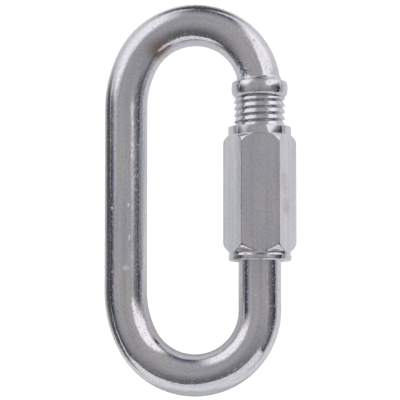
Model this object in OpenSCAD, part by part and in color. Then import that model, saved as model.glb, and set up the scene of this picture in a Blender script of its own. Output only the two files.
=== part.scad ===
// Chain quick link: a bent steel rod whose gate is closed by a long hexagon sleeve nut.
// It lies as it rests, on one flat of the nut and along the plain leg. Sizes are in millimetres.
// +Y runs along the legs towards the stop collar, +X towards the nut, +Z up from the surface below.

/* [Bent rod] */
// Diameter of the round rod
rod_d = 8; // [7:0.1:9]
// How much thinner bending leaves the rod round the crown of each bow
bend_thinning = 0.1; // [0.04:0.02:0.3]
// Clear length inside the loop, from bow to bow
inner_l = 58; // [54:0.5:90]
// Distance between the axes of the plain leg and the gate
leg_spacing = 25.2; // [24:0.1:30]
// Centreline radius of the easy bends at both ends of the plain leg
shoulder_r = 19.7; // [17:0.1:24]
// Angle that each of those bends turns through
shoulder_turn = 27.6; // [20:0.1:35]

/* [Threaded gate] */
// Height of the thread above the rod's surface
thread_depth = 0.75; // [0.5:0.05:0.9]
// Rise of the thread in one turn
thread_pitch = 1.25; // [1:0.05:1.5]
// Length of the threaded end below the stop collar
stub_l = 7.9; // [7:0.1:9]
// Length of thread on the long gate leg
leg_thread_l = 5.8; // [4:0.1:6]
// Clear opening between the two threaded ends
gate_gap = 9.1; // [8.2:0.1:10]
// Bevel on the tip of each threaded end
tip_bevel = 0.7; // [0.3:0.05:1]

/* [Stop collar] */
// How far the collar stands out past the thread
collar_step = 0.45; // [0.3:0.05:0.8]
// Height of the collar
collar_h = 3.3; // [2.8:0.1:3.8]
// Height of the collar's sloped top, towards the bow
collar_slope = 0.4; // [0.2:0.05:0.7]
// Width of the flat left between that slope and the rod
collar_land = 0.3; // [0.2:0.05:0.5]
// Bevel round the collar's lower rim
collar_bevel = 0.6; // [0.3:0.05:0.7]
// Depth of the collar's lower face below the end of the bow
collar_drop = 1.7; // [1.2:0.1:1.8]

/* [Sleeve nut] */
// Distance across the flats of the hexagon
nut_af = 12; // [11.9:0.1:14]
// Length over the two end rings
nut_l = 25.2; // [24:0.1:26]
// Wall of the end rings round the threaded bore
ring_wall = 1.05; // [0.8:0.05:1.2]
// Height of the turned ring that faces the collar
ring_h = 1.65; // [0.8:0.05:2]
// Radius of the domed shoulder between that ring and the full hexagon
dome_round = 2.4; // [1.6:0.1:4]
// Height of the crimped lip at the other end
lip_h = 1.6; // [1.2:0.1:2]
// Depth of the neck above the lip's rim
neck_depth = 0.15; // [0.05:0.05:0.3]
// Height of the chamfer between the neck and the full hexagon
chamfer_h = 1.5; // [1:0.05:2.5]
// Bevel at both mouths of the bore
mouth_bevel = 0.3; // [0.1:0.05:0.5]
// Radial clearance between the thread's crest and the bore
thread_gap = 0.1; // [0.05:0.01:0.2]
// Radial clearance between the rod and the crimped lip
lip_gap = 0.5; // [0.4:0.05:0.6]
// Bare thread between the collar and the nut, which is backed off as found
nut_setback = 5.55; // [0:0.05:6]

/* [Hidden] */
$fn = 96;
rod_r = rod_d / 2;
thread_r = rod_r + thread_depth;
collar_r = thread_r + collar_step;
crown_rod_r = rod_r - bend_thinning / 2;
shoulder_rod_r = (rod_r + crown_rod_r) / 2;

// The crown bend joins the gate straight on, and the plain leg by way of a shoulder bend.
crown_r = (leg_spacing - shoulder_r * (1 - cos(shoulder_turn))) / (1 + cos(shoulder_turn));
crown_turn = 180 - shoulder_turn;
crown_y = inner_l / 2 + crown_rod_r - crown_r;
shoulder_x = (shoulder_r - crown_r) * cos(shoulder_turn) - crown_r;
shoulder_y = crown_y - (shoulder_r - crown_r) * sin(shoulder_turn);

// The thread's ridge: its crest, its foot sunk into the rod, and the length over which it fades out
crest_w = thread_pitch / 6;
ridge_root = 0.3;
root_w = crest_w + 2 * (thread_depth + ridge_root) * tan(30);
fade_l = thread_pitch / 2;
steps_per_turn = 24;

// Places along the gate
collar_y = crown_y - collar_drop;
stub_tip_y = collar_y - stub_l;
leg_tip_y = stub_tip_y - gate_gap;
leg_thread_y = leg_tip_y - leg_thread_l;

// Radii of the nut
corner_r = nut_af / sqrt(3);
bore_r = thread_r + thread_gap;
ring_r = bore_r + ring_wall;
neck_r = ring_r - neck_depth;
lip_bore_r = rod_r + lip_gap;

// The dome rounds off the corners on its way in to the ring's edge, and is fullest just outside them.
hex_top = nut_l - ring_h;
dome_edge = 0.05;
dome_in = corner_r + dome_edge - dome_round;
dome_z = hex_top - sqrt(dome_round ^ 2 - (ring_r - dome_in) ^ 2);
nut_y = collar_y - nut_setback - nut_l;

// Lying flat, the nut rests on a flat and the thinner plain leg drops to the same level.
lie_angle = asin((nut_af / 2 - rod_r) / leg_spacing);
gate_x = (leg_spacing * cos(lie_angle) + rod_r - corner_r) / 2;
gate_z = nut_af / 2;

// Cuts run this far past the faces that they open.
past = 1;
steel = [0.74, 0.75, 0.77];

// Places a piece made along +Z on the gate, with its base at the height y.
module on_gate(y) {
    translate([0, y, 0]) rotate([-90, 0, 0]) children();
}

// A stretch of bent rod about a centre, starting at an angle and turning further.
module bend(centre, radius, section_r, start, turn) {
    translate(centre)
        rotate_extrude(angle = turn, start = start) translate([radius, 0]) circle(r = section_r);
}

// One bow: the crown bend and the easy bend that meets the plain leg.
module bow() {
    bend([-crown_r, crown_y, 0], crown_r, crown_rod_r, 0, crown_turn);
    bend([shoulder_x, shoulder_y, 0], shoulder_r, shoulder_rod_r, crown_turn, shoulder_turn);
}

// A straight end of the rod along +Z, bevelled at its tip.
module rod_end(length) {
    rotate_extrude()
        polygon([
            [0, 0],
            [rod_r, 0],
            [rod_r, length - tip_bevel],
            [rod_r - tip_bevel, length],
            [0, length]
        ]);
}

// Corners of the ridge's section at a height on the gate. The ridge sinks into the rod at both its ends.
function ridge_section(height, low, high) =
    let (
        fade = min(1, (height - low) / fade_l, (high - height) / fade_l),
        sunk_r = rod_r - ridge_root / 2,
        crest_r = sunk_r + fade * (thread_r - sunk_r),
        angle = 360 * height / thread_pitch
    )
    [for (corner = [
        [rod_r - ridge_root, -root_w / 2],
        [crest_r, -crest_w / 2],
        [crest_r, crest_w / 2],
        [rod_r - ridge_root, root_w / 2]
    ]) [corner[0] * cos(angle), corner[0] * sin(angle), height + corner[1]]];

// A right-hand ridge along +Z from one height on the gate to another. All such ridges lie on one helix.
module thread_ridge(low, high) {
    steps = ceil((high - low) / thread_pitch * steps_per_turn);
    sections = [for (i = [0:steps]) ridge_section(low + (high - low) * i / steps, low, high)];
    last = 4 * steps;
    sides = [for (i = [0:steps - 1], k = [0:3])
        let (a = 4 * i + k, b = 4 * i + (k + 1) % 4)
        each [[a, b, b + 4], [a, b + 4, a + 4]]];
    polyhedron(
        [for (section = sections) each section],
        concat([[3, 2, 1, 0]], sides, [[last, last + 1, last + 2, last + 3]])
    );
}

// The upset collar that stops the nut, with its lower face at the base.
module stop_collar() {
    rotate_extrude()
        polygon([
            [0, 0],
            [collar_r - collar_bevel, 0],
            [collar_r, collar_bevel],
            [collar_r, collar_h - collar_slope],
            [rod_r + collar_land, collar_h],
            [0, collar_h]
        ]);
}

// The rod, bent from one length: long gate leg, bow, plain leg, bow, collar and threaded end.
module rod_in_plane() {
    bow();
    mirror([0, 1, 0]) bow();
    translate([-leg_spacing, 0, 0]) on_gate(-shoulder_y) cylinder(r = rod_r, h = 2 * shoulder_y);
    on_gate(-crown_y) rod_end(crown_y + leg_tip_y);
    on_gate(0) thread_ridge(leg_thread_y, leg_tip_y - tip_bevel - root_w / 2);
    on_gate(collar_y) stop_collar();
    mirror([0, 1, 0]) on_gate(-collar_y) rod_end(stub_l);
    on_gate(0) thread_ridge(stub_tip_y + tip_bevel + root_w / 2, collar_y + root_w / 2 + fade_l);
}

module link_body() {
    color(steel)
        translate([gate_x, 0, gate_z]) rotate([0, -lie_angle, 0]) rod_in_plane();
}

// The turned shape that trims the hexagon's ends: a chamfer below and a dome above.
module turned_ends() {
    trim_r = corner_r + dome_edge / 2;
    trim_h = chamfer_h * (trim_r - neck_r) / (corner_r - neck_r);
    rotate_extrude()
        polygon([
            [0, lip_h],
            [neck_r, lip_h],
            [trim_r, lip_h + trim_h],
            [trim_r, dome_z],
            [dome_in, dome_z],
            [dome_in, hex_top],
            [0, hex_top]
        ]);
    rotate_extrude() translate([dome_in, dome_z]) circle(r = dome_round);
}

// The outside of the nut along +Z, from the crimped lip to the ring that faces the collar.
module nut_outside() {
    intersection() {
        translate([0, 0, lip_h]) cylinder(r = corner_r, h = hex_top - lip_h, $fn = 6);
        turned_ends();
    }
    translate([0, 0, hex_top]) cylinder(r = ring_r, h = ring_h);
    rotate_extrude()
        polygon([
            [0, 0],
            [ring_r - neck_depth, 0],
            [ring_r, neck_depth],
            [ring_r, lip_h / 2],
            [neck_r, lip_h / 2 + neck_depth],
            [neck_r, lip_h],
            [0, lip_h]
        ]);
}

// The bore along +Z: close round the rod in the lip, then clear of the thread up to the top mouth.
module nut_bore() {
    rotate_extrude()
        polygon([
            [0, -past],
            [lip_bore_r + mouth_bevel, -past],
            [lip_bore_r + mouth_bevel, 0],
            [lip_bore_r, mouth_bevel],
            [lip_bore_r, lip_h],
            [bore_r, lip_h + bore_r - lip_bore_r],
            [bore_r, nut_l - mouth_bevel],
            [bore_r + mouth_bevel, nut_l],
            [bore_r + mouth_bevel, nut_l + past],
            [0, nut_l + past]
        ]);
}

module sleeve_nut() {
    color(steel)
        translate([gate_x, 0, gate_z]) on_gate(nut_y) difference() {
            nut_outside();
            nut_bore();
        }
}

link_body();
sleeve_nut();
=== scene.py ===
"""Looks of a chain quick link: a bent, zinc plated rod and the hexagon sleeve nut that closes its gate.

The link lies on a pale floor and the camera looks down on it. Sizes are in metres, in the frame of the
solids: +Y runs along the legs towards the stop collar, +X towards the nut, +Z up from the floor.
"""

import math

import bmesh
import bpy
from mathutils import Matrix, Vector


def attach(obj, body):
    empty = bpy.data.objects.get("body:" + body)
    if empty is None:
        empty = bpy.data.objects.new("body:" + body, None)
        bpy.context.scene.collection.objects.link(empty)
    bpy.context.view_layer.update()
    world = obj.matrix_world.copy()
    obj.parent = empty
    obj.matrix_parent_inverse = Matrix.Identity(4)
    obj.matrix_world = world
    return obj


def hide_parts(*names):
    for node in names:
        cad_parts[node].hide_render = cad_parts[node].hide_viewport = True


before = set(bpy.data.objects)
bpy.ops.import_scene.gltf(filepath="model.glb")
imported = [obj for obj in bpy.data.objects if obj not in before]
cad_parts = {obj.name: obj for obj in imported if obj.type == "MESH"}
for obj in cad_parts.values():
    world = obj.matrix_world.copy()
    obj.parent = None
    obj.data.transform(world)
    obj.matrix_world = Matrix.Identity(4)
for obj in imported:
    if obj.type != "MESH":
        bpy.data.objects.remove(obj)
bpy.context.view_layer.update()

MM = 0.001

# The bent rod
ROD_R = 4.0 * MM
BEND_THINNING = 0.05 * MM
INNER_L = 58.0 * MM
LEG_SPACING = 25.2 * MM
SHOULDER_R = 19.7 * MM
SHOULDER_TURN = math.radians(27.6)
ROD_SIDES = 72
CROWN_STEPS = 64
SHOULDER_STEPS = 14

# The threaded gate
THREAD_DEPTH = 0.8 * MM
THREAD_ROOT = 0.17 * MM
THREAD_PITCH = 1.25 * MM
# Its form over one turn: millimetres above the middle of the crest, and the share of its depth there
THREAD_FORM = [(-0.38, 0.0), (-0.34, 0.0), (-0.04, 1.0), (0.04, 1.0), (0.79, 0.46), (0.87, 0.0)]
STUB_L = 7.9 * MM
LEG_THREAD_L = 5.8 * MM
GATE_GAP = 9.1 * MM
TIP_BEVEL = 0.7 * MM
THREAD_ROW = 0.05 * MM
# How far off the rod's surface a point still counts as on it
ON_ROD = 0.05 * MM

# The stop collar
COLLAR_R = 5.3 * MM
COLLAR_H = 3.3 * MM
COLLAR_SLOPE = 0.4 * MM
COLLAR_LAND = 0.3 * MM
COLLAR_BEVEL = 0.6 * MM
COLLAR_DROP = 1.7 * MM
COLLAR_ROUND = 0.12 * MM
COLLAR_TOP_ROUND = 0.22 * MM
COLLAR_BARREL = 0.15 * MM
BARREL_STEPS = 8
FLARE_H = 0.6 * MM
FLARE_RISE = 0.2 * MM
FLARE_STEPS = 16

# The sleeve nut
NUT_AF = 12.0 * MM
NUT_L = 25.2 * MM
BORE_R = 4.85 * MM
RING_R = 5.9 * MM
RING_H = 1.65 * MM
DOME_ROUND = 2.4 * MM
DOME_EDGE = 0.05 * MM
LIP_H = 1.6 * MM
LIP_BORE_R = 4.5 * MM
NECK_DEPTH = 0.15 * MM
LIP_RIM = 0.95 * MM
LIP_WOBBLE = 0.05 * MM
CRIMP_DEPTH = 0.15 * MM
CHAMFER_Y = 1.75 * MM
ARC_Y = 1.25 * MM
ARC_STEEPNESS = 2.0
MOUTH_BEVEL = 0.3 * MM
NUT_SETBACK = 5.55 * MM
CORNER_ROUND = 0.32 * MM
TRIM_BLEND = 0.05 * MM
NUT_SIDES = 192
CORNER_CROWDING = 0.86
NUT_ROW = 0.07 * MM
MOUTH_THREAD_L = 6.0 * MM
GROOVE_DEPTH = 0.4 * MM
LIP_ROUND = 0.4 * MM
RIM_ROUND = 0.3 * MM
NECK_ROUND = 0.2 * MM
RING_ROUND = 0.15 * MM
MERGE_DIST = 0.001 * MM
# Half the angle that one flat takes round the nut
HALF_FLAT = math.pi / 6

# Marks on the plating, as the middle and the reach of each in millimetres; the nicks are real marks that
# also carry a painted glint
NICKS_AND_GLINTS = [
    ((-13.3, -7.5, 7.9), (0.25, 0.7, 0.6)),
    ((-13.5, -1.4, 8.0), (0.25, 0.5, 0.6)),
    ((-16.6, -1.9, 7.0), (0.3, 0.4, 0.6)),
    ((-14.0, -13.1, 8.0), (0.7, 0.75, 0.8)),
    ((10.2, -18.2, 9.9), (0.35, 0.35, 0.6)),
    ((-6.0, 31.8, 7.9), (0.3, 0.3, 0.6)),
]
BOW_STAIN = [((-8.4, 28.6, 6.0), (3.6, 3.2, 3.5))]
CRINKLES = [((8.5, 23.6, 9.0), (2.0, 2.6, 2.5))]
NUT_STAIN = [
    ((15.6, 2.6, 10.4), (1.5, 3.0, 2.4)),
    ((15.8, -1.6, 10.0), (1.7, 2.4, 2.6)),
]

# The plating's unevenness, as waves to the metre across and along the steel
TINT_WAVES = (160, 70)
HAZE_WAVES = (700, 220)
LUMP_WAVES = (850, 320)
LINE_WAVES = (3000, 60)
GRAIN_WAVES = (2300, 1700)
SPECK_WAVES = (3400, 2300)
PIT_WAVES = (3100, 2300)
STREAK_WAVES = (1300, 40)
FOLD_WAVES = (1500, 900)
BLOTCH_WAVES = (900, 420)
DENT_WAVES = (700, 900)

# Fades of the plating: the two values that each runs between, and what it gives at them
TINT_FADE = (0.35, 0.65, 0.0, 1.0)
SPECK_FADE = (0.58, 0.68, 0.0, 1.0)
PIT_FADE = (0.3, 0.55, 0.88, 1.0)
STREAK_FADE = (0.35, 0.65, 0.91, 1.0)
ROUGHNESS_FADE = (0.3, 0.7, 0.07, 0.15)
BLOTCH_FADE = (0.3, 0.7, 0.15, 0.5)
SPOT_FADE = (0.4, 1.0, 1.0, 0.0)

# How strong the plating's unevenness and marks are
ROD_PLATING = {"Lumps": 0.03 * MM, "Lines": 0.003 * MM, "Grain": 0.009 * MM, "Specks": 0.4}
NUT_PLATING = {"Lumps": 0.016 * MM, "Lines": 0.003 * MM, "Grain": 0.004 * MM, "Specks": 0.06}
NICK_RISE = 0.03 * MM
NICK_ROUGHNESS = 0.3
FOLD_DEPTH = 0.22 * MM
BOW_STAIN_SHARE = 0.9

# Colours of the plating and its marks
COOL_ZINC = (0.71, 0.725, 0.775)
WARM_ZINC = (0.785, 0.768, 0.792)
BROWN_STAIN = (0.52, 0.38, 0.34, 1.0)
# The nicks' pale colour is a painted glint off their raw edges
NICK_GLINT = (0.93, 0.93, 0.95, 1.0)
GREY_SMEAR = (0.42, 0.39, 0.40, 1.0)

# The floor: its own brightness, the least of that in the metal, and its glow in the metal
FLOOR_SIZE = 5.0
FLOOR_PALE = 0.82
FLOOR_DARKEST = 0.1
MIRRORED_GLOW = 0.39
WHITE = (1.0, 1.0, 1.0, 1.0)

# Fades over the floor as the metal mirrors it: two places in millimetres, and what it gives at them
LEFT_SHADE = (-30, -19, 0.85, 0.0)
LEFT_SHADE_TOP = (22, 36, 1.0, 0.0)
LEFT_SHADE_FOOT = (-52, -42, 0.0, 1.0)
TOP_SHADE = (40, 52, 0.0, 0.9)
TOP_SHADE_SIDES = (10, 22, 1.0, 0.0)
RIGHT_SHADE = (30, 60, 0.0, 0.35)
FAR_RIGHT_GLOW = (22, 50, 0.0, 0.45)
FAR_LEFT_GLOW = (-60, -30, 0.15, 0.0)
FAR_GLOW_FOOT = (25, 60, 0.0, 1.0)
INSIDE_LOOP = (10, 16, 1.0, 0.0)
LOW_BOW_SHADE = (-24, -10, 0.6, 0.0)
TOP_BOW_GLOW = (8, 26, 0.0, 0.15)
FLOOR_TINT = (-12, 20, 0.0, 1.0)
LEFT_TINT = (0.955, 0.985, 0.985)
RIGHT_TINT = (1.0, 0.97, 0.985)

# Fades over the studio's sky, by the direction from the link
VIEWER_SPREAD = -0.3
CEILING = (-0.25, 0.7, 0.445, 0.15)
CEILING_LOW = (0.0, 0.6, 0.25, 1.0)
BESIDE = (-0.35, -0.1, 0.0, 1.0)
RIGHT_DIM = (0.66, 0.79, 0.0, 0.5)
LEFT_DIM = (-0.99, -0.88, 0.4, 0.0)
BLUE_LOW = (0.2, 0.6, 1.0, 0.0)
BLUE_FAR = (-0.1, 0.4, 1.0, 0.0)
BLUE_DIM = (0.1, 0.5, 1.0, 0.0)
PLAIN_SKY = (1.0, 0.975, 1.0)
BLUE_SKY = (0.62, 0.72, 1.0)

# The softboxes: degrees round from +X, from straight up and of lean, and their sizes as slopes from the link
SOFTBOXES = [
    ((42, 99, -9.5), {"Half Length": 2.9, "Length Edge": 0.8, "Half Width": 0.39, "Width Edge": 0.45}),
    ((132, 98, 105), {"Half Length": 0.5, "Length Edge": 0.8, "Half Width": 1.2, "Width Edge": 1.3}),
]
SOFTBOX_LIGHT = 1.3
SOFTBOX_LEAST_AHEAD = 0.001
# The most light that any part of the studio gives
BRIGHTEST = 1.15

# The white card that stands past the lower bow
CARD_LIGHT = 0.88
CARD_Y = -100 * MM
CARD_W = 240 * MM
CARD_H = 66 * MM
CARD_SLOPE = 5.0

# Places that follow from those sizes
CROWN_R = (LEG_SPACING - SHOULDER_R * (1 - math.cos(SHOULDER_TURN))) / (1 + math.cos(SHOULDER_TURN))
CROWN_TURN = math.pi - SHOULDER_TURN
CROWN_Y = INNER_L / 2 + ROD_R - BEND_THINNING - CROWN_R
SHOULDER_X = (SHOULDER_R - CROWN_R) * math.cos(SHOULDER_TURN) - CROWN_R
SHOULDER_Y = CROWN_Y - (SHOULDER_R - CROWN_R) * math.sin(SHOULDER_TURN)
COLLAR_Y = CROWN_Y - COLLAR_DROP
STUB_TIP_Y = COLLAR_Y - STUB_L
LEG_TIP_Y = STUB_TIP_Y - GATE_GAP
LEG_THREAD_Y = LEG_TIP_Y - LEG_THREAD_L
CORNER_R = NUT_AF / math.sqrt(3)
NECK_R = RING_R - NECK_DEPTH
HEX_TOP = NUT_L - RING_H
DOME_IN = CORNER_R + DOME_EDGE - DOME_ROUND
DOME_Y = HEX_TOP - math.sqrt(DOME_ROUND ** 2 - (RING_R - DOME_IN) ** 2)
NUT_Y = COLLAR_Y - NUT_SETBACK - NUT_L

# The loop lies on a flat of the nut and along the plain leg, so it tips about the gate.
LIE_ANGLE = math.asin((NUT_AF / 2 - ROD_R) / LEG_SPACING)
GATE_X = (LEG_SPACING * math.cos(LIE_ANGLE) + ROD_R - CORNER_R) / 2
GATE_Z = NUT_AF / 2
ON_GATE = Matrix.Translation((GATE_X, 0, GATE_Z))
LYING = ON_GATE @ Matrix.Rotation(-LIE_ANGLE, 4, "Y")


def eased(share):
    """A share from 0 to 1, eased at both ends."""
    share = min(1.0, max(0.0, share))
    return share * share * (3 - 2 * share)


def of_kind(parts, kind):
    """The vertices, or the edges, among the parts that an operator made."""
    return [part for part in parts if isinstance(part, kind)]


def ring_verts(ring):
    """The vertices of a ring of edges."""
    return list({vert for edge in ring for vert in edge.verts})


def new_piece(name, bm, body, node, material):
    """Makes a finished mesh a piece of the link that stands for a solid."""
    bmesh.ops.recalc_face_normals(bm, faces=bm.faces)
    # Only the rod's flat end faces have more than four corners.
    for face in bm.faces:
        face.smooth = len(face.verts) <= 4
    mesh = bpy.data.meshes.new(name)
    bm.to_mesh(mesh)
    bm.free()
    mesh.materials.append(material)
    piece = bpy.data.objects.new(name, mesh)
    bpy.context.scene.collection.objects.link(piece)
    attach(piece, body)
    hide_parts(node)


# The bent rod, made in the plane of the loop with the gate's axis on Y


def run_straight(bm, ring, shift):
    """Extrudes a ring of the rod along a straight stretch and returns the ring at its end."""
    made = bmesh.ops.extrude_edge_only(bm, edges=ring)["geom"]
    bmesh.ops.translate(bm, verts=of_kind(made, bmesh.types.BMVert), vec=shift)
    return [edge for edge in of_kind(made, bmesh.types.BMEdge) if edge.is_boundary]


def run_bend(bm, ring, centre, turn, steps):
    """Spins a ring of the rod round a bend and returns the ring at its end."""
    verts = ring_verts(ring)
    made = bmesh.ops.spin(bm, geom=verts + ring, cent=centre, axis=(0, 0, 1), angle=turn, steps=steps)
    return of_kind(made["geom_last"], bmesh.types.BMEdge)


def run_turned(bm, ring, start, profile):
    """Carries a flat ring on the gate through (height, radius) steps and returns the ring at its end."""
    height, radius = start
    for next_height, next_radius in profile:
        ring = run_straight(bm, ring, (0, next_height - height, 0))
        verts = ring_verts(ring)
        share = next_radius / radius
        bmesh.ops.scale(bm, verts=verts, vec=(share, 1, share))
        height, radius = next_height, next_radius
    return ring


def rounded_corner(before, corner, after, radius, steps=4):
    """Points on an arc that rounds off a corner of an outline."""
    before, corner, after = Vector(before), Vector(corner), Vector(after)
    inward = (before - corner).normalized()
    onward = (after - corner).normalized()
    half = inward.angle(onward) / 2
    centre = corner + (inward + onward).normalized() * radius / math.sin(half)
    start = corner + inward * radius / math.tan(half) - centre
    end = corner + onward * radius / math.tan(half) - centre
    return [tuple(centre + start.lerp(end, i / steps).normalized() * radius) for i in range(steps + 1)]


def rounded_outline(points):
    """An open outline of (x, y, corner radius) points, with its corners rounded."""
    outline = []
    for i, (x, y, radius) in enumerate(points):
        if radius:
            outline += rounded_corner(points[i - 1][:2], (x, y), points[i + 1][:2], radius)
        else:
            outline.append((x, y))
    return outline


def thread_height(turns):
    """Height of the thread at a number of turns from the middle of a crest, as a share of its depth."""
    foot = THREAD_FORM[0][0] * MM
    above = foot + (turns * THREAD_PITCH - foot) % THREAD_PITCH
    for (low, low_share), (high, high_share) in zip(THREAD_FORM, THREAD_FORM[1:]):
        if above <= high * MM:
            return low_share + (high_share - low_share) * (above / MM - low) / (high - low)
    return 0.0


def turns_on_gate(x, y, z):
    """Turns up the gate's right-hand helix from the crest, for a point beside the gate's axis."""
    return y / THREAD_PITCH + math.atan2(z, x) / math.tau


def raise_thread(bm, low, high, fade_low, fade_high):
    """Pulls the thread out of the rod between two heights on the gate."""
    for vert in bm.verts:
        x, y, z = vert.co
        if low < y < high and math.hypot(x, z) < ROD_R + ON_ROD:
            fade = eased((y - low) / fade_low) * eased((high - y) / fade_high)
            height = thread_height(turns_on_gate(x, y, z))
            swell = 1 + fade * (THREAD_ROOT + (THREAD_DEPTH - THREAD_ROOT) * height) / ROD_R
            vert.co = (x * swell, y, z * swell)


def flare_to_collar(bm, collar_top):
    """Widens the end of the top bow so that it runs into the collar."""
    for vert in bm.verts:
        x, y, z = vert.co
        radius = math.hypot(x, z)
        if radius < COLLAR_R - COLLAR_LAND and collar_top - COLLAR_SLOPE < y < collar_top + FLARE_H:
            share = 1 - max(0, y - collar_top) / FLARE_H
            swell = 1 + FLARE_RISE * share * share / radius
            vert.co = (x * swell, y, z * swell)


def place_on_rod(point):
    """Where a point of the rod is: outwards, up, and along the rod from the plain leg's middle."""
    x, y, z = point
    side = math.copysign(1, y)
    height = abs(y)
    shoulder = math.atan2(height - SHOULDER_Y, SHOULDER_X - x)
    crown = math.atan2(height - CROWN_Y, -CROWN_R - x)
    to_crown = SHOULDER_Y + SHOULDER_R * SHOULDER_TURN
    if x < -CROWN_R and height < SHOULDER_Y:
        return -LEG_SPACING - x, z, side * height
    if x < -CROWN_R and shoulder < SHOULDER_TURN:
        reach = math.hypot(x - SHOULDER_X, height - SHOULDER_Y)
        return reach - SHOULDER_R, z, side * (SHOULDER_Y + SHOULDER_R * shoulder)
    if height > CROWN_Y:
        reach = math.hypot(x + CROWN_R, height - CROWN_Y)
        return reach - CROWN_R, z, side * (to_crown + CROWN_R * (crown - SHOULDER_TURN))
    return x, z, side * (to_crown + CROWN_R * CROWN_TURN + CROWN_Y - height)


def thin_the_bows(bm):
    """Draws the rod in a little round each bow, as bending does."""
    bend_start = SHOULDER_Y
    bend_end = SHOULDER_Y + SHOULDER_R * SHOULDER_TURN + CROWN_R * CROWN_TURN
    for vert in bm.verts:
        along = place_on_rod(vert.co)[2]
        if bend_start < abs(along) < bend_end:
            share = eased((abs(along) - bend_start) / SHOULDER_R) * eased((bend_end - abs(along)) / CROWN_R)
            centre = rod_centre(along)
            vert.co = centre + (vert.co - centre) * (1 - share * BEND_THINNING / ROD_R)


def rod_centre(along):
    """The point on the rod's centreline at a distance along it from the plain leg's middle."""
    side = math.copysign(1, along)
    rest = abs(along) - SHOULDER_Y
    if rest < 0:
        return Vector((-LEG_SPACING, along, 0))
    if rest < SHOULDER_R * SHOULDER_TURN:
        turn = rest / SHOULDER_R
        x = SHOULDER_X - SHOULDER_R * math.cos(turn)
        y = SHOULDER_Y + SHOULDER_R * math.sin(turn)
        return Vector((x, side * y, 0))
    turn = SHOULDER_TURN + (rest - SHOULDER_R * SHOULDER_TURN) / CROWN_R
    x = -CROWN_R - CROWN_R * math.cos(turn)
    y = CROWN_Y + CROWN_R * math.sin(turn)
    return Vector((x, side * y, 0))


def bent_rod(material):
    """The rod with its collar and threads, run from the long leg's tip to the short one's."""
    bm = bmesh.new()
    upright = Matrix.Translation((0, LEG_TIP_Y, 0)) @ Matrix.Rotation(math.pi / 2, 4, "X")
    tip_r = ROD_R - TIP_BEVEL
    made = bmesh.ops.create_circle(bm, cap_ends=False, segments=ROD_SIDES, radius=tip_r, matrix=upright)
    ring = list({edge for vert in made["verts"] for edge in vert.link_edges})
    bmesh.ops.edgeloop_fill(bm, edges=ring)

    def threaded_rows(start, end):
        rows = round(abs(end - start) / THREAD_ROW)
        return [(start + (end - start) * (i + 1) / rows, ROD_R) for i in range(rows)]

    # The long gate leg, from its tip down
    leg_rows = [(LEG_TIP_Y - TIP_BEVEL, ROD_R)] + threaded_rows(LEG_TIP_Y - TIP_BEVEL, LEG_THREAD_Y)
    ring = run_turned(bm, ring, (LEG_TIP_Y, tip_r), leg_rows)
    ring = run_straight(bm, ring, (0, -CROWN_Y - LEG_THREAD_Y, 0))

    # Bottom bow, plain leg and top bow
    crown_low, crown_high = (-CROWN_R, -CROWN_Y, 0), (-CROWN_R, CROWN_Y, 0)
    shoulder_low, shoulder_high = (SHOULDER_X, -SHOULDER_Y, 0), (SHOULDER_X, SHOULDER_Y, 0)
    ring = run_bend(bm, ring, crown_low, -CROWN_TURN, CROWN_STEPS)
    ring = run_bend(bm, ring, shoulder_low, -SHOULDER_TURN, SHOULDER_STEPS)
    ring = run_straight(bm, ring, (0, 2 * SHOULDER_Y, 0))
    ring = run_bend(bm, ring, shoulder_high, -SHOULDER_TURN, SHOULDER_STEPS)

    # The top bow stops where it reaches the collar, and is turned square to the gate there.
    collar_top = COLLAR_Y + COLLAR_H
    short_of = math.asin((collar_top + COLLAR_LAND - CROWN_Y) / CROWN_R)
    flared = short_of + FLARE_H / CROWN_R
    ring = run_bend(bm, ring, crown_high, -(CROWN_TURN - flared), CROWN_STEPS)
    ring = run_bend(bm, ring, crown_high, short_of - flared, FLARE_STEPS)
    ring = run_straight(bm, ring, (0, 0, 0))
    verts = ring_verts(ring)
    square = Matrix.Rotation(-short_of, 3, "Z")
    bmesh.ops.rotate(bm, verts=verts, cent=crown_high, matrix=square)
    bmesh.ops.translate(bm, verts=verts, vec=(0, collar_top - CROWN_Y, 0))

    # Stop collar, with a slightly barrelled side, and short threaded end
    band_top, band_low = collar_top - COLLAR_SLOPE, COLLAR_Y + COLLAR_BEVEL
    band = []
    for i in range(1, BARREL_STEPS):
        share = i / BARREL_STEPS
        height = band_top + (band_low - band_top) * share
        band.append((height, COLLAR_R - COLLAR_BARREL * (2 * share - 1) ** 2, 0))
    collar = rounded_outline([
        (collar_top, ROD_R, 0),
        (band_top, COLLAR_R - COLLAR_BARREL, COLLAR_TOP_ROUND),
        *band,
        (band_low, COLLAR_R - COLLAR_BARREL, COLLAR_ROUND),
        (COLLAR_Y, COLLAR_R - COLLAR_BEVEL, 0),
        (COLLAR_Y, ROD_R, 0),
    ])
    ring = run_turned(bm, ring, collar[0], collar[1:])
    stub_rows = threaded_rows(COLLAR_Y, STUB_TIP_Y + TIP_BEVEL) + [(STUB_TIP_Y, tip_r)]
    ring = run_turned(bm, ring, collar[-1], stub_rows)
    bmesh.ops.edgeloop_fill(bm, edges=ring)

    flare_to_collar(bm, collar_top)
    raise_thread(bm, LEG_THREAD_Y, LEG_TIP_Y, THREAD_PITCH / 2, 2 * TIP_BEVEL)
    raise_thread(bm, STUB_TIP_Y, COLLAR_Y, 2 * TIP_BEVEL, THREAD_ROW)
    flow = bm.verts.layers.float_vector.new("place_on_rod")
    for vert in bm.verts:
        vert[flow] = place_on_rod(vert.co)
    thin_the_bows(bm)
    bmesh.ops.transform(bm, matrix=LYING, verts=bm.verts)
    new_piece("bent_rod", bm, "link", "link_body", material)


# The sleeve nut, made with its axis on Y


def from_corner(angle):
    """The angle to the nearest corner of the hexagon."""
    return abs((angle + HALF_FLAT) % (2 * HALF_FLAT) - HALF_FLAT)


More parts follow.
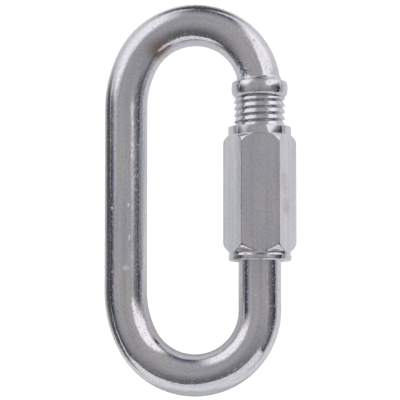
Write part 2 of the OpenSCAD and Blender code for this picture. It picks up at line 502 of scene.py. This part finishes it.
def hexagon_r(angle):
    """Distance from the nut's axis to its hexagon, whose slightly rounded corners point along X."""
    flat_r = NUT_AF / 2
    away = from_corner(angle)
    from_flat = HALF_FLAT - away
    flat_end = math.atan((flat_r - CORNER_ROUND) * math.tan(HALF_FLAT) / flat_r)
    if from_flat < flat_end:
        return flat_r / math.cos(from_flat)
    reach = (flat_r - CORNER_ROUND) / math.cos(HALF_FLAT)
    return reach * math.cos(away) + math.sqrt(CORNER_ROUND ** 2 - (reach * math.sin(away)) ** 2)


def blended_min(a, b):
    """The smaller of two lengths, with the crossing between them slightly rounded."""
    share = max(TRIM_BLEND - abs(a - b), 0) / TRIM_BLEND
    return min(a, b) - share * share * TRIM_BLEND / 4


def divided(points, longest):
    """An outline with its sloped stretches cut into steps no longer than this."""
    outline = [points[0]]
    for (x0, y0), (x1, y1) in zip(points, points[1:]):
        sloped = abs(x1 - x0) > longest / 4
        steps = math.ceil(math.hypot(x1 - x0, y1 - y0) / longest) if sloped else 1
        outline += [(x0 + (x1 - x0) * i / steps, y0 + (y1 - y0) * i / steps) for i in range(1, steps + 1)]
    return outline


def domed(middle, start, end):
    """An arc of the turned shape that trims the hexagon's ends, about a height, between two angles."""
    steps = math.ceil(DOME_ROUND * (end - start) / NUT_ROW)
    arc = []
    for i in range(steps + 1):
        angle = start + (end - start) * i / steps
        arc.append((DOME_IN + DOME_ROUND * math.cos(angle), middle + DOME_ROUND * math.sin(angle)))
    return arc


def arc_reach(radius, height, angle):
    """Keeps the middle of each flat full towards the lip, where the turned end would trim it."""
    cone = NUT_AF / 2 + (height - ARC_Y) / ARC_STEEPNESS
    return radius + eased(from_corner(angle) / HALF_FLAT) * max(0.0, cone - radius)


def nut_outline():
    """Half the nut's turned section as (radius, height) points, up the outside and down the bore."""
    lip = rounded_outline([
        (LIP_BORE_R + MOUTH_BEVEL, 0, 0),
        (RING_R, 0, LIP_ROUND),
        (RING_R, LIP_RIM, RIM_ROUND),
        (NECK_R, LIP_RIM + 2 * NECK_DEPTH, NECK_ROUND),
        (NECK_R, CHAMFER_Y, 0),
    ])
    low_angle = math.acos((NECK_R - DOME_IN) / DOME_ROUND)
    low_y = CHAMFER_Y + DOME_ROUND * math.sin(low_angle)
    top_angle = math.acos((RING_R - DOME_IN) / DOME_ROUND)
    low_dome = domed(low_y, -low_angle, 0)
    dome = domed(DOME_Y, 0, top_angle)
    ring = rounded_outline([
        (RING_R, HEX_TOP, 0),
        (RING_R, HEX_TOP + NUT_ROW, 0),
        (RING_R, NUT_L, RING_ROUND),
        (BORE_R + MOUTH_BEVEL, NUT_L, 0),
        (BORE_R, NUT_L - MOUTH_BEVEL, 0),
    ])
    rows = round(MOUTH_THREAD_L / NUT_ROW)
    mouth = [(BORE_R, NUT_L - MOUTH_BEVEL - MOUTH_THREAD_L * (i + 1) / rows) for i in range(rows)]
    bore = [
        (BORE_R, LIP_H + BORE_R - LIP_BORE_R),
        (LIP_BORE_R, LIP_H),
        (LIP_BORE_R, MOUTH_BEVEL),
    ]
    return divided(lip, NUT_ROW) + low_dome[1:] + dome + ring[1:] + mouth + bore


def sleeve_nut(material):
    """The sleeve nut, turned from its outline and then drawn in to the hexagon."""
    bm = bmesh.new()
    verts = [bm.verts.new((radius, height, 0)) for radius, height in nut_outline()]
    edges = [bm.edges.new(pair) for pair in zip(verts, verts[1:] + verts[:1])]
    bmesh.ops.spin(
        bm,
        geom=verts + edges,
        cent=(0, 0, 0),
        axis=(0, 1, 0),
        angle=math.tau,
        steps=NUT_SIDES,
        use_merge=True,
    )
    bmesh.ops.remove_doubles(bm, verts=bm.verts, dist=MERGE_DIST)
    thread_low = NUT_L - MOUTH_BEVEL - MOUTH_THREAD_L
    for vert in bm.verts:
        x, y, z = vert.co
        radius = math.hypot(x, z)
        angle = math.atan2(z, x)
        # The columns crowd towards the corners, whose rounds are small.
        angle -= CORNER_CROWDING * math.sin(6 * angle) / 6
        if thread_low < y < NUT_L and radius < BORE_R + MOUTH_BEVEL / 2:
            point = (math.cos(angle), y + NUT_Y, math.sin(angle))
            fade = eased((y - thread_low) / THREAD_PITCH)
            radius += GROOVE_DEPTH * fade * thread_height(turns_on_gate(*point))
        else:
            if LIP_RIM < y < NUT_L / 2 and radius > BORE_R:
                radius = arc_reach(radius, y, angle)
            radius = blended_min(radius, hexagon_r(angle))
        if y < LIP_RIM and radius > LIP_BORE_R + MOUTH_BEVEL:
            # Three broad waves round the rim, and seven smaller ones
            radius += LIP_WOBBLE * (math.sin(3 * angle + 1) + 0.6 * math.sin(7 * angle))
        vert.co = (radius * math.cos(angle), y, radius * math.sin(angle))
    bmesh.ops.translate(bm, verts=bm.verts, vec=(GATE_X, NUT_Y, GATE_Z))
    new_piece("hexagon_nut", bm, "nut", "sleeve_nut", material)


# Finishes


def add(tree, kind, inputs=(), **properties):
    """Adds a node with some of its properties and of its named inputs set."""
    node = tree.nodes.new(kind)
    for name, value in properties.items():
        setattr(node, name, value)
    for name, value in dict(inputs).items():
        if isinstance(value, bpy.types.NodeSocket):
            tree.links.new(value, node.inputs[name])
        else:
            node.inputs[name].default_value = value
    return node


def maths(tree, operation, *values):
    """The result of a Math node on sockets and plain numbers."""
    node = add(tree, "ShaderNodeMath", enumerate(values), operation=operation)
    return node.outputs["Value"]


def product(tree, first, *others):
    """The product of several sockets."""
    for other in others:
        first = maths(tree, "MULTIPLY", first, other)
    return first


def noise(tree, place, waves, detail=2.0):
    """Noise from 0 to 1, with so many waves to the metre across the steel and along it."""
    across, along = waves
    scaled = add(tree, "ShaderNodeVectorMath", {0: place, 1: (across, across, along)}, operation="MULTIPLY")
    inputs = {"Vector": scaled.outputs["Vector"], "Scale": 1.0, "Detail": detail}
    return add(tree, "ShaderNodeTexNoise", inputs).outputs[0]


def graded(tree, value, low, high, from_value=0.0, to_value=1.0):
    """A value eased from one number to another as it passes from low to high."""
    ends = {"Value": value, "From Min": low, "From Max": high, "To Min": from_value, "To Max": to_value}
    return add(tree, "ShaderNodeMapRange", ends, interpolation_type="SMOOTHSTEP").outputs["Result"]


def coloured(tree, value, low, high):
    """A colour between two, by a value from 0 to 1."""
    node = add(tree, "ShaderNodeValToRGB", {"Fac": value})
    node.color_ramp.elements[0].color = low + (1.0,)
    node.color_ramp.elements[1].color = high + (1.0,)
    return node.outputs["Color"]


def dimmed(tree, colour, share):
    """A colour brought down to a share of its brightness."""
    node = add(tree, "ShaderNodeVectorMath", {0: colour, "Scale": share}, operation="SCALE")
    return node.outputs["Vector"]


def mixed(tree, share, first, second):
    """A colour that goes from one to another by a share from 0 to 1."""
    node = add(tree, "ShaderNodeMix", {0: share, 6: first, 7: second}, data_type="RGBA")
    return node.outputs[2]


def new_group(name, inputs, outputs):
    """An empty node group with its sockets; returns it with the sockets inside."""
    group = bpy.data.node_groups.new(name, "ShaderNodeTree")
    for socket, kind in inputs.items():
        group.interface.new_socket(socket, in_out="INPUT", socket_type="NodeSocket" + kind)
    for socket, kind in outputs.items():
        group.interface.new_socket(socket, in_out="OUTPUT", socket_type="NodeSocket" + kind)
    return group, add(group, "NodeGroupInput").outputs


def zinc_plating():
    """A node group: the tints, haze, specks and fine unevenness of zinc plating on drawn steel.

    Place runs along the steel on its Z axis. Lumps, Lines and Grain are heights in metres, and Specks is
    the roughness of the dull specks.
    """
    group, given = new_group(
        "zinc_plating",
        {"Place": "Vector", "Lumps": "Float", "Lines": "Float", "Grain": "Float", "Specks": "Float"},
        {"Colour": "Color", "Roughness": "Float", "Height": "Float"},
    )
    place = given["Place"]
    height = product(group, noise(group, place, LUMP_WAVES), given["Lumps"])
    height = maths(group, "MULTIPLY_ADD", noise(group, place, LINE_WAVES), given["Lines"], height)
    height = maths(group, "MULTIPLY_ADD", noise(group, place, GRAIN_WAVES, 3.0), given["Grain"], height)
    tint = graded(group, noise(group, place, TINT_WAVES, 3.0), *TINT_FADE)
    colour = coloured(group, tint, COOL_ZINC, WARM_ZINC)
    pits = graded(group, noise(group, place, PIT_WAVES), *PIT_FADE)
    streaks = graded(group, noise(group, place, STREAK_WAVES), *STREAK_FADE)
    bright = product(group, pits, streaks)
    roughness = graded(group, noise(group, place, HAZE_WAVES, 3.0), *ROUGHNESS_FADE)
    specks = graded(group, noise(group, place, SPECK_WAVES), *SPECK_FADE)
    result = {
        "Colour": dimmed(group, colour, bright),
        "Roughness": maths(group, "MULTIPLY_ADD", specks, given["Specks"], roughness),
        "Height": height,
    }
    add(group, "NodeGroupOutput", result)
    return group


def worn_spot():
    """A node group: 1 at the middle of a round or long spot on a piece, and 0 past its rim."""
    group, given = new_group(
        "worn_spot",
        {"Point": "Vector", "Centre": "Vector", "Reach": "Vector"},
        {"Mask": "Float"},
    )
    away = add(group, "ShaderNodeVectorMath", {0: given["Point"], 1: given["Centre"]}, operation="SUBTRACT")
    shares = add(group, "ShaderNodeVectorMath", {0: away.outputs[0], 1: given["Reach"]}, operation="DIVIDE")
    length = add(group, "ShaderNodeVectorMath", {0: shares.outputs[0]}, operation="LENGTH")
    add(group, "NodeGroupOutput", {"Mask": graded(group, length.outputs["Value"], *SPOT_FADE)})
    return group


def plated(name, group, place, amounts):
    """A metal material with the plating group fed; returns it with its nodes and the group's outputs."""
    material = bpy.data.materials.new(name)
    material.use_nodes = True
    tree = material.node_tree
    tree.nodes["Principled BSDF"].inputs["Metallic"].default_value = 1.0
    plating = add(tree, "ShaderNodeGroup", {"Place": place(tree), **amounts}, node_tree=group)
    return material, tree, plating.outputs


def finish(tree, colour, roughness, height):
    """Feeds the looks of a plated piece into its shader."""
    shader = tree.nodes["Principled BSDF"]
    bump = add(tree, "ShaderNodeBump", {"Strength": 1.0, "Distance": 1.0, "Height": height})
    tree.links.new(colour, shader.inputs["Base Color"])
    tree.links.new(roughness, shader.inputs["Roughness"])
    tree.links.new(bump.outputs["Normal"], shader.inputs["Normal"])


def spots(tree, group, places):
    """A mask of several spots, each given by its middle and its reach in millimetres."""
    point = add(tree, "ShaderNodeTexCoord").outputs["Object"]
    mask = None
    for centre, reach in places:
        inputs = {"Point": point, "Centre": Vector(centre) * MM, "Reach": Vector(reach) * MM}
        spot = add(tree, "ShaderNodeGroup", inputs, node_tree=group).outputs["Mask"]
        mask = maths(tree, "MAXIMUM", mask, spot) if mask else spot
    return mask


def place_along_rod(tree):
    """A place across the rod and, on Z, along it, from the piece's own attribute."""
    return add(tree, "ShaderNodeAttribute", attribute_name="place_on_rod").outputs["Vector"]


def place_along_nut(tree):
    """A place across the nut and, on Z, along it."""
    axes = add(tree, "ShaderNodeSeparateXYZ", {0: add(tree, "ShaderNodeTexCoord").outputs["Object"]}).outputs
    place = add(tree, "ShaderNodeCombineXYZ", {"X": axes["X"], "Y": axes["Z"], "Z": axes["Y"]})
    return place.outputs["Vector"]


def rod_zinc(plating_group, spot_group):
    """Plating on the bent rod, with its nicks and their painted glints, a brown stain in the top bow and
    crinkles at the collar.
    """
    material, tree, plating = plated("rod_zinc", plating_group, place_along_rod, ROD_PLATING)
    nicks_and_glints = spots(tree, spot_group, NICKS_AND_GLINTS)
    stain = product(tree, spots(tree, spot_group, BOW_STAIN), BOW_STAIN_SHARE)
    colour = mixed(tree, stain, plating["Colour"], BROWN_STAIN)
    # The nicks are painted near white as a painted highlight off their raw edges, and are also made rougher
    # and raised
    colour = mixed(tree, nicks_and_glints, colour, NICK_GLINT)
    roughness = maths(tree, "MULTIPLY_ADD", nicks_and_glints, NICK_ROUGHNESS, plating["Roughness"])
    folds = noise(tree, place_along_rod(tree), FOLD_WAVES, 3.0)
    folds = product(tree, folds, spots(tree, spot_group, CRINKLES), FOLD_DEPTH)
    height = maths(tree, "ADD", plating["Height"], folds)
    height = maths(tree, "MULTIPLY_ADD", nicks_and_glints, NICK_RISE, height)
    finish(tree, colour, roughness, height)
    return material


def nut_zinc(plating_group, spot_group):
    """Plating on the nut, with a soft smear on the flat that faces up to the right and a dented lip."""
    material, tree, plating = plated("nut_zinc", plating_group, place_along_nut, NUT_PLATING)
    place = place_along_nut(tree)
    blotches = graded(tree, noise(tree, place, BLOTCH_WAVES, 4.0), *BLOTCH_FADE)
    stain = product(tree, spots(tree, spot_group, NUT_STAIN), blotches)
    colour = mixed(tree, stain, plating["Colour"], GREY_SMEAR)
    along = add(tree, "ShaderNodeSeparateXYZ", {0: place}).outputs["Z"]
    crimped = graded(tree, along, NUT_Y + LIP_RIM, NUT_Y + CHAMFER_Y, CRIMP_DEPTH, 0.0)
    height = maths(tree, "MULTIPLY_ADD", noise(tree, place, DENT_WAVES), crimped, plating["Height"])
    finish(tree, colour, plating["Roughness"], height)
    return material


# Stage


def new_stage_piece(name, material_name, bm):
    """Makes a finished mesh a thing on the stage; returns it with its material's empty node tree."""
    mesh = bpy.data.meshes.new(name)
    bm.to_mesh(mesh)
    bm.free()
    piece = bpy.data.objects.new(name, mesh)
    bpy.context.scene.collection.objects.link(piece)
    material = bpy.data.materials.new(material_name)
    material.use_nodes = True
    material.node_tree.nodes.clear()
    mesh.materials.append(material)
    return piece, material.node_tree


def make_floor():
    """A pale floor that shows white; as the metal mirrors it, it is shaded to the left, right and top."""
    bm = bmesh.new()
    bmesh.ops.create_grid(bm, x_segments=1, y_segments=1, size=FLOOR_SIZE)
    floor, tree = new_stage_piece("floor", "pale_floor", bm)
    rays = add(tree, "ShaderNodeLightPath").outputs
    axes = add(tree, "ShaderNodeSeparateXYZ", {0: add(tree, "ShaderNodeTexCoord").outputs["Object"]}).outputs
    x, y = axes["X"], axes["Y"]
    across = maths(tree, "ABSOLUTE", x)

    def fade(value, form):
        low, high, at_low, at_high = form
        return graded(tree, value, low * MM, high * MM, at_low, at_high)

    left = product(tree, fade(x, LEFT_SHADE), fade(y, LEFT_SHADE_TOP), fade(y, LEFT_SHADE_FOOT))
    top = product(tree, fade(y, TOP_SHADE), fade(across, TOP_SHADE_SIDES))
    shade = maths(tree, "MAXIMUM", maths(tree, "MAXIMUM", left, fade(x, RIGHT_SHADE)), top)

    # Its glow in the metal, with more from the far corners and less or more from inside the bows
    far_sides = maths(tree, "ADD", fade(x, FAR_RIGHT_GLOW), fade(x, FAR_LEFT_GLOW))
    far_corners = product(tree, far_sides, fade(y, FAR_GLOW_FOOT))
    mirrored = maths(tree, "MULTIPLY_ADD", maths(tree, "SUBTRACT", 1.0, shade), MIRRORED_GLOW, far_corners)
    inside = fade(across, INSIDE_LOOP)
    low_bow = maths(tree, "SUBTRACT", 1.0, product(tree, inside, fade(y, LOW_BOW_SHADE)))
    top_bow = maths(tree, "ADD", 1.0, product(tree, inside, fade(y, TOP_BOW_GLOW)))
    mirrored = product(tree, mirrored, low_bow, top_bow, rays["Is Glossy Ray"])
    seen = maths(tree, "MAXIMUM", rays["Is Camera Ray"], rays["Is Transmission Ray"])
    shown = maths(tree, "MULTIPLY_ADD", seen, FLOOR_PALE, mirrored)
    tint = mixed(tree, seen, coloured(tree, fade(x, FLOOR_TINT), LEFT_TINT, RIGHT_TINT), WHITE)
    glow = add(tree, "ShaderNodeEmission", {"Color": tint, "Strength": shown})

    pale = maths(tree, "SUBTRACT", FLOOR_PALE, product(tree, rays["Is Glossy Ray"], shade))
    lit = add(tree, "ShaderNodeBsdfDiffuse", {"Color": maths(tree, "MAXIMUM", pale, FLOOR_DARKEST)})
    both = add(tree, "ShaderNodeAddShader", {0: lit.outputs[0], 1: glow.outputs[0]})
    add(tree, "ShaderNodeOutputMaterial", {"Surface": both.outputs[0]})


def softbox_mask():
    """A node group: 1 inside a soft-edged rectangle on the sky and 0 outside it."""
    group, given = new_group(
        "softbox",
        {
            "Direction": "Vector", "Facing": "Vector", "Long Side": "Vector",
            "Half Length": "Float", "Length Edge": "Float", "Half Width": "Float", "Width Edge": "Float",
        },
        {"Mask": "Float"},
    )

    def dot(first, second):
        node = add(group, "ShaderNodeVectorMath", {0: first, 1: second}, operation="DOT_PRODUCT")
        return node.outputs["Value"]

    def inside(axis, half, edge):
        slope = maths(group, "DIVIDE", dot(given["Direction"], axis), ahead)
        over = maths(group, "SUBTRACT", maths(group, "ABSOLUTE", slope), half)
        return graded(group, maths(group, "DIVIDE", over, edge), -0.5, 0.5, 1.0, 0.0)

    facing, long_side = given["Facing"], given["Long Side"]
    # A direction that points away from the softbox falls far past its edges.
    ahead = maths(group, "MAXIMUM", dot(given["Direction"], facing), SOFTBOX_LEAST_AHEAD)
    across = add(group, "ShaderNodeVectorMath", {0: facing, 1: long_side}, operation="CROSS_PRODUCT")
    along_mask = inside(long_side, given["Half Length"], given["Length Edge"])
    across_mask = inside(across.outputs["Vector"], given["Half Width"], given["Width Edge"])
    add(group, "NodeGroupOutput", {"Mask": maths(group, "MULTIPLY", along_mask, across_mask)})
    return group


def sky_axes(azimuth, off_vertical, lean):
    """A direction by its degrees round from +X and from straight up, and a side that leans from upright."""
    azimuth, off_vertical, lean = (math.radians(angle) for angle in (azimuth, off_vertical, lean))
    facing = Vector((
        math.sin(off_vertical) * math.cos(azimuth),
        math.sin(off_vertical) * math.sin(azimuth),
        math.cos(off_vertical),
    ))
    onward = Vector((-math.sin(azimuth), math.cos(azimuth), 0))
    upward = facing.cross(onward)
    return facing, upward * math.cos(lean) + onward * math.sin(lean)


def make_card():
    """A white card that stands past the lower bow, with a sloped top; only the metal shows it."""
    bm = bmesh.new()
    bmesh.ops.create_grid(bm, x_segments=1, y_segments=1, size=0.5)
    upright = Matrix.Rotation(math.pi / 2, 4, "X")
    bmesh.ops.transform(bm, matrix=upright, verts=bm.verts)
    bmesh.ops.translate(bm, verts=bm.verts, vec=(0, CARD_Y, 0.5))
    bmesh.ops.scale(bm, verts=bm.verts, vec=(CARD_W, 1, CARD_H))
    for vert in bm.verts:
        vert.co.z *= 1 + CARD_SLOPE * vert.co.x
    card, tree = new_stage_piece("white_card", "white_card", bm)
    card.visible_camera = False
    glow = add(tree, "ShaderNodeEmission", {"Strength": CARD_LIGHT})
    add(tree, "ShaderNodeOutputMaterial", {"Surface": glow.outputs[0]})


def make_studio():
    """A dim studio with two softboxes; seen directly it is as white as the floor."""
    world = bpy.data.worlds.new("studio")
    bpy.context.scene.world = world
    world.use_nodes = True
    tree = world.node_tree
    tree.nodes.clear()
    direction = add(tree, "ShaderNodeTexCoord").outputs["Generated"]
    axes = add(tree, "ShaderNodeSeparateXYZ", {0: direction}).outputs
    x, y, z = axes["X"], axes["Y"], axes["Z"]

    # Ceiling, darker on the side that the link is seen from, low down, and low to the left and right
    nearer = maths(tree, "MULTIPLY", y, -1.0)
    towards_viewer = maths(tree, "MULTIPLY_ADD", maths(tree, "ABSOLUTE", x), VIEWER_SPREAD, nearer)
    ceiling = product(tree, graded(tree, towards_viewer, *CEILING), graded(tree, z, *CEILING_LOW))
    dim_sides = maths(tree, "ADD", graded(tree, x, *LEFT_DIM), graded(tree, x, *RIGHT_DIM))
    shaded = product(tree, graded(tree, y, *BESIDE), dim_sides)
    light = product(tree, ceiling, maths(tree, "SUBTRACT", 1.0, shaded))

    mask = softbox_mask()
    for aim, sizes in SOFTBOXES:
        facing, long_side = sky_axes(*aim)
        inputs = {"Direction": direction, "Facing": facing, "Long Side": long_side, **sizes}
        box = add(tree, "ShaderNodeGroup", inputs, node_tree=mask)
        light = maths(tree, "MULTIPLY_ADD", box.outputs["Mask"], SOFTBOX_LIGHT, light)
    # A flat that mirrors a softbox keeps its colour.
    light = maths(tree, "MINIMUM", light, BRIGHTEST)

    rays = add(tree, "ShaderNodeLightPath").outputs
    seen = maths(tree, "MAXIMUM", rays["Is Camera Ray"], rays["Is Transmission Ray"])
    strength = maths(tree, "MAXIMUM", light, seen)
    far_and_low = product(tree, graded(tree, z, *BLUE_LOW), graded(tree, towards_viewer, *BLUE_FAR))
    blue = product(tree, far_and_low, graded(tree, strength, *BLUE_DIM))
    colour = coloured(tree, blue, PLAIN_SKY, BLUE_SKY)
    sky = add(tree, "ShaderNodeBackground", {"Color": colour, "Strength": strength})
    add(tree, "ShaderNodeOutputWorld", {"Surface": sky.outputs[0]})


def make_camera():
    """Looks down on the link, a little from the lower bow's side."""
    target = Vector((-0.1 * MM, -0.15 * MM, 5.5 * MM))
    distance = 450 * MM
    tilt = math.radians(4.6)
    frame_width = 75.0 * MM
    data = bpy.data.cameras.new("camera")
    data.sensor_width = 36.0
    data.lens = data.sensor_width * distance / frame_width
    data.clip_start = 10 * MM
    camera = bpy.data.objects.new("camera", data)
    camera.location = target + distance * Vector((0, -math.sin(tilt), math.cos(tilt)))
    camera.rotation_euler = (tilt, 0, 0)
    bpy.context.scene.collection.objects.link(camera)
    bpy.context.scene.camera = camera


make_camera()
make_floor()
make_card()
make_studio()
plating_group = zinc_plating()
spot_group = worn_spot()
bent_rod(rod_zinc(plating_group, spot_group))
sleeve_nut(nut_zinc(plating_group, spot_group))
bpy.context.scene.view_settings.view_transform = "Standard"
